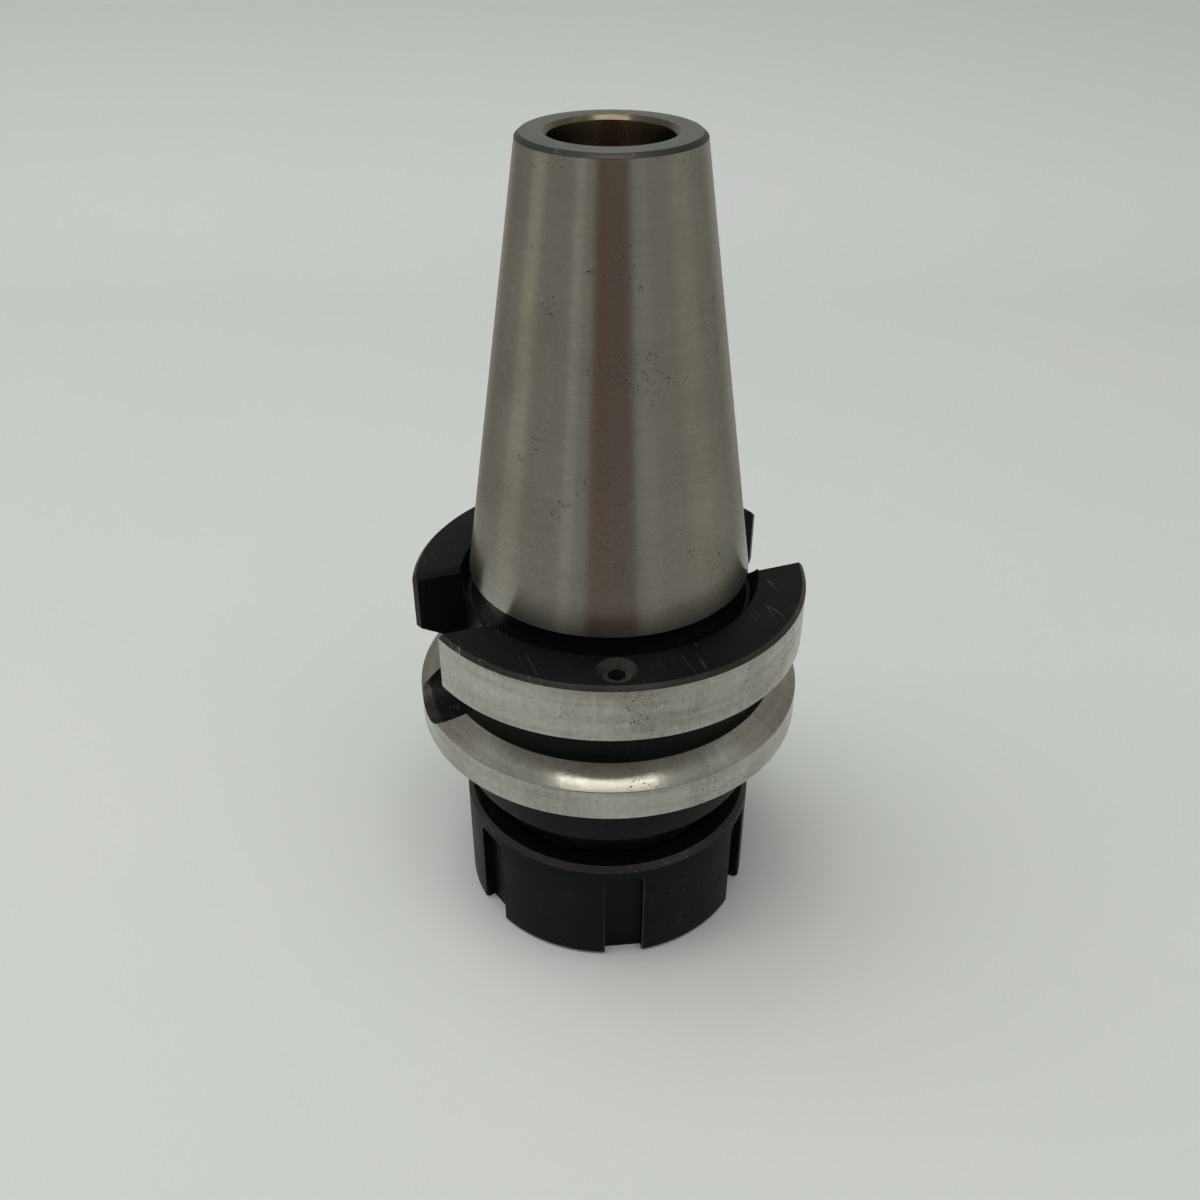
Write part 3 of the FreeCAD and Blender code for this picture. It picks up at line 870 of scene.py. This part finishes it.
    def inside(self) -> list[Corner]:
        """Bores of the holder from the small end down to the collet seat."""
        small = self.gauge + self.taper_length
        mouth = self.pilot_radius + self.pilot_chamfer
        crest = self.stud_thread.crest
        drill = small - self.drill_depth
        thread_top = small - self.pilot_depth - (self.pilot_radius - crest)
        return [
            Corner(mouth, small, 0.08, Zone.BORE),
            Corner(self.pilot_radius, small - self.pilot_chamfer, 0.08, Zone.BORE, 2),
            Corner(self.pilot_radius, small - self.pilot_depth, 0.15, Zone.BORE, 8),
            Corner(crest, thread_top, zone=Zone.BORE, rows=76),
            Corner(crest, small - 24.0, rows=2),
            Corner(crest, drill + (crest - self.coolant_bore)),
            Corner(self.coolant_bore, drill),
            Corner(self.coolant_bore, self.stop_end),
            Corner(self.stop_thread.crest, self.stop_end, rows=2),
            Corner(self.stop_thread.crest, self.cavity_end),
            Corner(self.seat_end, self.cavity_end, 0.2, Zone.TAPER, 4),
        ]

    def slot_cutter(self, turn: float) -> bpy.types.Object:
        """Solid that clears one drive slot.

        Its section has straight walls, a half round end and 45 degree flares at the flange face;
        above the groove it widens by the rim chamfer where the walls meet the rim.

        Args:
            turn: angle of the slot about the axis, in degrees.

        Returns:
            The cutter.
        """
        half, chamfer, over = self.slot_half_width, self.slot_chamfer, self.over
        sweep = np.linspace(0, math.pi, 49)
        face = self.flange_face
        reach = half + chamfer + over
        across = np.concatenate([[-reach, -half], -half * np.cos(sweep), [half, reach]])
        along = np.concatenate([
            [face + over, face - chamfer], self.slot_end - half * np.sin(sweep), [face - chamfer, face + over]
        ])
        rim = math.sqrt(self.flange_radius ** 2 - half ** 2) - chamfer
        levels = np.array([self.slot_floor, rim, self.flange_radius + over])
        widened = np.where(along > self.groove_centre, np.sign(across), 0.0)
        sections = np.stack([
            np.stack([across + widened * max(0.0, level - rim), along], axis=-1) for level in levels
        ])
        return prism("slot_cutter", sections, levels, facing_out(turn), (Zone.OXIDE, Zone.EDGE))

    def port_cutters(self, turn: float) -> list[bpy.types.Object]:
        """Countersunk tapped port with the slanted gallery below it.

        Args:
            turn: angle of the port about the axis, in degrees.

        Returns:
            The cutters.
        """
        face, bottom = self.flange_face, self.flange_face - self.port_depth
        crest = self.port_thread.crest
        hole = revolved(
            "port_cutter",
            Outline([
                Corner(0.0, bottom),
                Corner(crest, bottom),
                Corner(crest, face - 7.0, rows=76, zone=Zone.EDGE),
                Corner(crest, face - (self.port_mouth - crest), zone=Zone.EDGE),
                Corner(self.port_mouth, face),
                Corner(self.port_mouth + self.over, face + self.over),
                Corner(0.0, face + self.over),
            ]),
            48,
            (self.port_thread,),
            self.port_radius,
        )
        hole.data.transform(about_axis(turn))
        length = (self.port_radius - 6.0) * math.sqrt(2)
        slanted = (
            about_axis(turn)
            @ Matrix.Translation((self.port_radius, 0, bottom + 0.5))
            @ Matrix.Rotation(math.radians(225), 4, "Y")
        )
        section = np.repeat(circle(self.gallery_radius, 32)[None], 2, axis=0)
        gallery = prism("gallery_cutter", section, np.array([0.0, length]), slanted, (Zone.OXIDE,))
        return [hole, gallery]

    def build(self) -> None:
        """Turns the holder, cuts its slots, ports and galleries, and dresses it."""
        piece = revolved(
            "holder_steel",
            Outline(self.outside() + self.inside()),
            threads=(self.nose_thread, self.stud_thread),
        )
        cutters = [self.slot_cutter(turn) for turn in (0.0, 180.0)]
        for turn in (self.port_angle, self.port_angle + 180.0):
            cutters += self.port_cutters(turn)
        list_zones([piece, *cutters])
        cut(piece, cutters)
        dress(piece, [FINISH_OF_ZONE[zone] for zone in Zone], Body.HOLDER, ("holder_body",))


@dataclass
class PortScrew:
    """Headless screw with a hexagon socket that closes one coolant port."""

    node: str
    turn: float
    place: float = 27.25
    top: float = 62.1
    length: float = 5.0
    radius: float = 2.5
    pitch: float = 0.8
    root: float = 2.08
    chamfer: float = 0.35
    hexagon: float = 2.5
    hexagon_depth: float = 2.6

    def build(self) -> None:
        """Turns the screw, cuts its socket and dresses it."""
        bottom = self.top - self.length
        piece = revolved(
            f"{self.node}_steel",
            Outline([
                Corner(0.0, bottom),
                Corner(self.radius - self.chamfer, bottom, rows=3),
                Corner(self.radius, bottom + self.chamfer, rows=52),
                Corner(self.radius, self.top - self.chamfer, rows=4, zone=Zone.EDGE),
                Corner(self.radius - self.chamfer, self.top),
                Corner(0.0, self.top),
            ]),
            96,
            (Thread(bottom, self.top, self.pitch, self.radius, self.root),),
            self.place,
        )
        socket = prism(
            "socket_cutter",
            np.repeat(circle(self.hexagon / math.sqrt(3), 6)[None], 2, axis=0),
            np.array([self.top - self.hexagon_depth, self.top + 1.0]),
            Matrix.Translation((self.place, 0, 0)),
            (Zone.OXIDE,),
        )
        list_zones([piece, socket])
        cut(piece, [socket])
        piece.data.transform(about_axis(self.turn))
        finishes = [SCREW_OXIDE if zone != Zone.EDGE else RUBBED_EDGE for zone in Zone]
        dress(piece, finishes, Body.HOLDER, (self.node,))


@dataclass
class ClampingNut:
    """The nut: turned outside with six spanner slots, threaded bore, eccentric lip and seat."""

    radius: float = 25.0
    length: float = 20.6
    rear_chamfer: float = 0.9
    front_chamfer: float = 0.7
    mouth_chamfer: float = 1.0
    thread_root: float = 20.05
    thread_crest: float = 19.2
    lip_top: float = 8.35
    lip_bottom: float = 5.75
    lip_radius: float = 15.3
    lip_offset: float = 0.8
    seat_radius: float = 16.25
    groove_level: float = 5.25
    mouth_radius: float = 13.739
    mouth_land: float = 0.9
    slot_width: float = 6.4
    slot_depth: float = 2.0
    slot_length: float = 18.0
    slot_corner: float = 1.2
    slot_edge: float = 0.18
    slots: int = 6
    first_slot: float = 16.1
    edge: float = 0.12

    def outline(self) -> Outline:
        """Outside, threaded bore and cone seat, with a straight bore where the lip is cut."""
        narrow = self.mouth_radius
        return Outline([
            Corner(narrow, 0.0, 0.1),
            Corner(self.radius - self.front_chamfer, 0.0, self.edge, Zone.EDGE),
            Corner(self.radius, self.front_chamfer, self.edge, rows=3),
            Corner(self.radius, self.length - self.rear_chamfer, self.edge, Zone.EDGE),
            Corner(self.radius - self.rear_chamfer, self.length, self.edge),
            Corner(self.thread_root + self.mouth_chamfer, self.length, 0.1, rows=12),
            Corner(self.thread_crest, self.length - self.mouth_chamfer - 0.85, rows=80),
            Corner(self.thread_crest, self.lip_top),
            Corner(self.lip_radius - self.lip_offset, self.lip_top),
            Corner(self.lip_radius - self.lip_offset, self.lip_bottom),
            Corner(self.seat_radius, self.lip_bottom),
            Corner(self.seat_radius, self.groove_level, zone=Zone.TAPER),
            Corner(narrow, self.mouth_land, 0.1),
        ])

    def slot_cutter(self, turn: float) -> bpy.types.Object:
        """Solid that clears one spanner slot.

        Its section is open at the front and rounded at the rear; over the last of its depth it
        grows outwards at 45 degrees, which breaks the slot's edges.

        Args:
            turn: angle of the slot about the axis, in degrees.

        Returns:
            The cutter.
        """
        rim = math.sqrt(self.radius ** 2 - (self.slot_width / 2) ** 2) - self.slot_edge
        outer = self.radius + 0.5
        levels = np.array([self.radius - self.slot_depth, rim, outer])
        bend = np.linspace(0, math.pi / 2, 9)
        sections = []
        for grown in np.maximum(levels - rim, 0.0):
            half = self.slot_width / 2 + grown
            corner = self.slot_corner + grown
            across = half - corner + corner * np.cos(bend)
            along = self.slot_length - self.slot_corner + corner * np.sin(bend)
            x = np.concatenate([[-half, half], across, -across[::-1]])
            y = np.concatenate([[-1.0, -1.0], along, along[::-1]])
            sections.append(np.stack([x, y], axis=-1))
        return prism("nut_slot_cutter", np.stack(sections), levels, facing_out(turn), (Zone.OXIDE, Zone.EDGE))

    def lip_cutter(self) -> bpy.types.Object:
        """Cylinder, off the axis, that bores the extraction lip."""
        section = np.repeat(circle(self.lip_radius, 180)[None], 2, axis=0)
        levels = np.array([self.lip_bottom - 0.2, self.lip_top + 0.2])
        return prism("lip_cutter", section, levels, Matrix.Translation((self.lip_offset, 0, 0)), (Zone.OXIDE,))

    def build(self) -> None:
        """Turns the nut, mills its slots, bores its lip and dresses it."""
        thread = Thread(self.lip_top + 1.0, self.length, 1.5, self.thread_crest, self.thread_root, run_in=1.0)
        piece = revolved("clamping_nut_steel", self.outline(), threads=(thread,))
        turns = [self.first_slot + step * 360 / self.slots for step in range(self.slots)]
        cutters = [self.slot_cutter(turn) for turn in turns] + [self.lip_cutter()]
        list_zones([piece, *cutters])
        cut(piece, cutters)
        finishes = [NUT_OXIDE if zone == Zone.OXIDE else FINISH_OF_ZONE[zone] for zone in Zone]
        dress(piece, finishes, Body.NUT, ("clamping_nut",))


@dataclass
class SpringCollet:
    """The collet: two cones and a groove, slit in turn from both ends."""

    recess: float = 0.4
    length: float = 40.0
    front_radius: float = 13.4
    cone_radius: float = 16.5
    groove_radius: float = 14.3
    groove_level: float = 5.25
    cone_level: float = 8.85
    rear_slope: float = math.tan(math.radians(8))
    front_slope: float = math.tan(math.radians(30))
    bore: float = 8.0
    slits: int = 8
    slit_width: float = 1.0
    first_slit: float = 11.25
    front_web: float = 5.0
    rear_web: float = 9.5
    edge: float = 0.15

    def outline(self) -> Outline:
        """Both cones, the groove between them and the bore."""
        top = self.recess + self.length
        front = self.front_radius + (self.groove_level - self.recess) * self.front_slope
        rear = self.cone_radius - (top - self.cone_level) * self.rear_slope
        return Outline([
            Corner(self.bore, self.recess, 0.2),
            Corner(self.front_radius, self.recess, self.edge, rows=2),
            Corner(front, self.groove_level, self.edge),
            Corner(self.groove_radius, self.groove_level, self.edge),
            Corner(self.groove_radius, self.cone_level, self.edge),
            Corner(self.cone_radius, self.cone_level, self.edge, rows=6),
            Corner(rear, top, 0.3),
            Corner(self.bore, top, 0.2, rows=6),
        ])

    def slit_cutter(self, bottom: float, top: float, turn: float) -> bpy.types.Object:
        """Thin upright plate that saws one slit from the bore outwards.

        Args:
            bottom: lower end of the slit.
            top: upper end of the slit.
            turn: angle of the slit about the axis, in degrees.

        Returns:
            The cutter.
        """
        near, far, half = self.bore - 2.0, self.cone_radius + 1.0, self.slit_width / 2
        plate = np.array([[near, -half], [far, -half], [far, half], [near, half]])
        return prism(
            "slit_cutter", np.repeat(plate[None], 2, axis=0), np.array([bottom, top]), about_axis(turn), (Zone.OXIDE,)
        )

    def build(self) -> None:
        """Turns the collet, saws its slits and dresses it."""
        piece = revolved("spring_collet_steel", self.outline(), 256)
        top = self.recess + self.length
        spacing = 360 / self.slits
        cutters = []
        for step in range(self.slits):
            turn = self.first_slit + step * spacing
            cutters.append(self.slit_cutter(self.recess - 1.0, top - self.front_web, turn))
            cutters.append(self.slit_cutter(self.recess + self.rear_web, top + 1.0, turn + spacing / 2))
        list_zones([piece, *cutters])
        cut(piece, cutters)
        dress(piece, [SPRING_STEEL for _ in Zone], Body.COLLET, ("spring_collet",))


@dataclass
class StopScrew:
    """Hollow screw behind the collet, with a thread outside and a hexagon socket below."""

    bottom: float = 48.4
    length: float = 12.0
    radius: float = 8.0
    root: float = 7.2
    pitch: float = 1.5
    chamfer: float = 0.8
    bore: float = 2.0
    hexagon: float = 8.0
    hexagon_depth: float = 6.0

    def build(self) -> None:
        """Turns the screw, cuts its socket and dresses it."""
        top = self.bottom + self.length
        piece = revolved(
            "stop_screw_steel",
            Outline([
                Corner(self.bore, self.bottom),
                Corner(self.radius - self.chamfer, self.bottom, rows=4),
                Corner(self.radius, self.bottom + self.chamfer, rows=64),
                Corner(self.radius, top - self.chamfer, rows=4),
                Corner(self.radius - self.chamfer, top),
                Corner(self.bore, top, 0.2),
            ]),
            180,
            (Thread(self.bottom, top, self.pitch, self.radius, self.root),),
        )
        socket = prism(
            "socket_cutter",
            np.repeat(circle(self.hexagon / math.sqrt(3), 6)[None], 2, axis=0),
            np.array([self.bottom - 1.0, self.bottom + self.hexagon_depth]),
            Matrix.Identity(4),
            (Zone.OXIDE,),
        )
        list_zones([piece, socket])
        cut(piece, [socket])
        dress(piece, [SCREW_OXIDE for _ in Zone], Body.LENGTH_STOP, ("stop_screw",))


# ------------------------------------------------------------------ studio


@dataclass(frozen=True)
class Card:
    """Upright strip of the surround: where it stands, how wide it is and what it adds.

    Attributes:
        azimuth: middle of the strip, in degrees to the right of the camera's side.
        half_width: half its width in degrees.
        light: brightness that it adds to or takes from the surround.
        soft: width of its soft edges in degrees.
    """

    azimuth: float
    half_width: float
    light: Colour
    soft: float = 6.0


@dataclass
class Studio:
    """Pale floor with a swept backdrop, soft lamps, reflecting cards and the camera."""

    distance: float = 165.51
    azimuth: float = -110.6
    height: float = 166.88
    tilt: float = 33.62
    yaw: float = 0.49
    roll: float = 0.067
    lens: float = 36.41
    surround: Colour = (0.33, 0.325, 0.29)
    cards: tuple[Card, ...] = (
        Card(-88.0, 10.0, (0.17, 0.17, 0.14), 10.0),
        Card(-34.0, 5.0, (0.13, 0.13, 0.12), 4.0),
        Card(2.0, 19.0, (-0.17, -0.205, -0.19), 5.0),
        Card(-9.0, 5.0, (0.0, -0.02, -0.02), 4.0),
        Card(34.0, 7.0, (0.04, 0.04, 0.04), 3.0),
        Card(82.0, 14.0, (0.07, 0.07, 0.05), 10.0),
        Card(-132.0, 14.0, (-0.06, -0.06, -0.06), 12.0),
        Card(122.0, 10.0, (-0.05, -0.045, -0.04), 10.0),
    )

    def spot(self, azimuth: float, away: float, high: float) -> Vector:
        """Place at an azimuth from the camera's side, a distance from the axis and a height, in metres."""
        turn = math.radians(self.azimuth + azimuth)
        return Vector((away * math.cos(turn), away * math.sin(turn), high))

    def floor(self) -> None:
        """Floor that sweeps up into a backdrop, its colour painted darker up the backdrop as painted shade.

        Its section is a flat run, a quarter circle and an upright run, carried straight across.
        """
        front, reach, bend_radius, width, top = -2.5, 0.30, 0.16, 3.0, 1.8
        bend = np.linspace(-math.pi / 2, 0, 33)
        along = np.concatenate([[front], reach + bend_radius * np.cos(bend), [reach + bend_radius]])
        high = np.concatenate([[0.0], bend_radius + bend_radius * np.sin(bend), [top]])
        side = np.array([-width, width])[:, None]
        turn = math.radians(self.azimuth + 180)
        x = along[None, :] * math.cos(turn) + side * math.sin(turn)
        y = along[None, :] * math.sin(turn) - side * math.cos(turn)
        points = np.stack([x, y, np.repeat(high[None, :], 2, axis=0)], axis=-1).reshape(-1, 3)
        number = np.arange(points.shape[0]).reshape(2, -1)
        quads = np.stack([number[0, :-1], number[1, :-1], number[1, 1:], number[0, 1:]], axis=-1)
        made = add_object("floor", points, quads.tolist(), None)
        made.data.shade_smooth()
        material = bpy.data.materials.new("pale_floor")
        material.use_nodes = True
        wires = Wiring(material.node_tree)
        shader = material.node_tree.nodes["Principled BSDF"]
        place = wires.node("ShaderNodeTexCoord").outputs["Object"]
        apart = wires.node("ShaderNodeSeparateXYZ")
        wires.feed(apart.inputs[0], place)
        ground = wires.mix(wires.noise(place, 9.0, 3.0), (0.475, 0.495, 0.475), (0.495, 0.505, 0.5))
        # Painted shade: the colour darkens from 0.02 m to 0.3 m up the sweep, standing in for the backdrop getting
        # less light than the floor.
        wires.feed(
            shader.inputs["Base Color"], wires.mix(wires.span(apart.outputs["Z"], 0.02, 0.3), ground, (0.33, 0.35, 0.325))
        )
        shader.inputs["Roughness"].default_value = 0.8
        shader.inputs["Specular IOR Level"].default_value = 0.2
        made.data.materials.append(material)

    def surrounding_cards(self) -> None:
        """Dish of cards round the part, seen only in its reflections.

        The dish is a turned quarter of an ellipse, from close to the floor near the part up to the
        height of its rim. Each card adds its light between two azimuths, with soft edges.
        """
        inner, outer, top, segments = 0.15, 0.6, 0.7, 144
        bend = np.linspace(0, math.pi / 2, 25)
        radius = inner + (outer - inner) * np.sin(bend)
        high = 0.001 + top * (1 - np.cos(bend))
        turn = np.arange(segments)[:, None] * FULL_TURN / segments
        points = np.stack(
            [radius * np.cos(turn), radius * np.sin(turn), np.repeat(high[None, :], segments, axis=0)], axis=-1
        )
        number = np.arange(points[..., 0].size).reshape(segments, -1)
        beside = np.roll(number, -1, axis=0)
        quads = np.stack([number[:, :-1], number[:, 1:], beside[:, 1:], beside[:, :-1]], axis=-1)
        made = add_object("reflecting_cards", points.reshape(-1, 3), quads.reshape(-1, 4).tolist(), None)
        made.data.shade_smooth()
        made.visible_camera = made.visible_diffuse = made.visible_shadow = False
        material = bpy.data.materials.new("card_light")
        material.use_nodes = True
        wires = Wiring(material.node_tree)
        material.node_tree.nodes.clear()
        apart = wires.node("ShaderNodeSeparateXYZ")
        facing = wires.node("ShaderNodeMapping", vector_type="POINT")
        facing.inputs["Rotation"].default_value = (0.0, 0.0, -math.radians(self.azimuth))
        wires.feed(facing.inputs["Vector"], wires.node("ShaderNodeTexCoord").outputs["Object"])
        wires.feed(apart.inputs[0], facing.outputs[0])
        angle = wires.math("DEGREES", wires.math("ARCTAN2", apart.outputs["Y"], apart.outputs["X"]))
        light: object = self.surround
        for card in self.cards:
            away = wires.math("ABSOLUTE", wires.math("SUBTRACT", angle, card.azimuth))
            share = wires.span(away, card.half_width - card.soft / 2, card.half_width + card.soft / 2, 1.0, 0.0)
            added = wires.node("ShaderNodeVectorMath", operation="MULTIPLY_ADD")
            wires.feed(added.inputs[0], card.light)
            wires.feed(added.inputs[1], share)
            wires.feed(added.inputs[2], light)
            light = added.outputs[0]
        glow = wires.node("ShaderNodeEmission")
        wires.feed(glow.inputs["Color"], light)
        out = wires.node("ShaderNodeOutputMaterial")
        wires.feed(out.inputs["Surface"], glow.outputs[0])
        made.data.materials.append(material)

    def lamp_bars(self) -> None:
        """Row of bright bars overhead, as in a workshop lamp.

        Bar k is a flat rectangle k pitches along the row, which lies across the view.
        """
        bars, pitch, bar, depth, high, toward = 13, 0.042, 0.022, 0.12, 0.95, 0.17
        start = (np.arange(bars) - (bars - 1) / 2) * pitch
        across = start[:, None] + np.array([-bar / 2, bar / 2, bar / 2, -bar / 2])[None, :]
        toward_camera = toward + np.broadcast_to(np.array([-depth, -depth, depth, depth]) / 2, across.shape)
        turn = math.radians(self.azimuth)
        x = toward_camera * math.cos(turn) - across * math.sin(turn)
        y = toward_camera * math.sin(turn) + across * math.cos(turn)
        points = np.stack([x, y, np.full(across.shape, high)], axis=-1).reshape(-1, 3)
        faces = np.arange(bars * 4).reshape(bars, 4)[:, ::-1]
        made = add_object("lamp_bars", points, faces.tolist(), None)
        made.visible_camera = False
        material = bpy.data.materials.new("lamp_bar_light")
        material.use_nodes = True
        shader = material.node_tree.nodes["Principled BSDF"]
        shader.inputs["Emission Color"].default_value = (1.0, 0.98, 0.86, 1.0)
        shader.inputs["Emission Strength"].default_value = 14.0
        made.data.materials.append(material)

    def lamp(self, name: str, place: Vector, size: float, power: float) -> None:
        """Soft square lamp that points at the part and leaves no reflection of its own.

        Args:
            name: object name.
            place: where it hangs.
            size: length of its side in metres.
            power: watts.
        """
        light = bpy.data.lights.new(name, "AREA")
        light.shape = "SQUARE"
        light.size = size
        light.energy = power
        made = bpy.data.objects.new(name, light)
        made.visible_glossy = False
        turn = (Vector((0, 0, 0.05)) - place).to_track_quat("-Z", "Y").to_matrix().to_4x4()
        made.matrix_world = Matrix.Translation(place) @ turn
        bpy.context.scene.collection.objects.link(made)

    def camera(self) -> None:
        """The camera: it looks down at the part, turned by its yaw and roll."""
        data = bpy.data.cameras.new("camera")
        data.lens = self.lens
        data.sensor_width = 36.0
        data.clip_start = 0.01
        made = bpy.data.objects.new("camera", data)
        heading = math.radians(self.azimuth + 180 + self.yaw)
        tilt = math.radians(self.tilt)
        forward = Vector((math.cos(heading) * math.cos(tilt), math.sin(heading) * math.cos(tilt), -math.sin(tilt)))
        level = Vector((math.sin(heading), -math.cos(heading), 0.0))
        right = Matrix.Rotation(-math.radians(self.roll), 3, forward) @ level
        matrix = Matrix((right, right.cross(forward), -forward)).transposed().to_4x4()
        matrix.translation = self.spot(0.0, self.distance * MM, self.height * MM)
        made.matrix_world = matrix
        bpy.context.scene.collection.objects.link(made)
        bpy.context.scene.camera = made

    def world(self) -> None:
        """Even soft light from all round."""
        world = bpy.data.worlds.new("studio")
        world.use_nodes = True
        back = world.node_tree.nodes["Background"]
        back.inputs["Color"].default_value = (0.97, 1.0, 0.97, 1)
        back.inputs["Strength"].default_value = 0.45
        bpy.context.scene.world = world

    def build(self) -> None:
        """Floor, cards, lamps, surroundings and camera."""
        self.floor()
        self.surrounding_cards()
        self.lamp_bars()
        self.lamp("lamp_left", self.spot(-100.0, 0.5, 1.1), 1.0, 9.0)
        self.lamp("lamp_front", self.spot(30.0, 0.4, 1.2), 1.0, 6.0)
        self.world()
        self.camera()
        bpy.context.scene.view_settings.view_transform = "Standard"
        LOG.info("studio: floor, cards, lamps and camera")


def main() -> None:
    """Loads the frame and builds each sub-assembly in order."""
    logging.basicConfig(level=logging.INFO, format="%(name)s: %(message)s")
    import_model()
    Holder().build()
    PortScrew("port_screw_front", 252.0).build()
    PortScrew("port_screw_rear", 72.0).build()
    SpringCollet().build()
    ClampingNut().build()
    StopScrew().build()
    Studio().build()


if __name__ == "__main__":
    main()
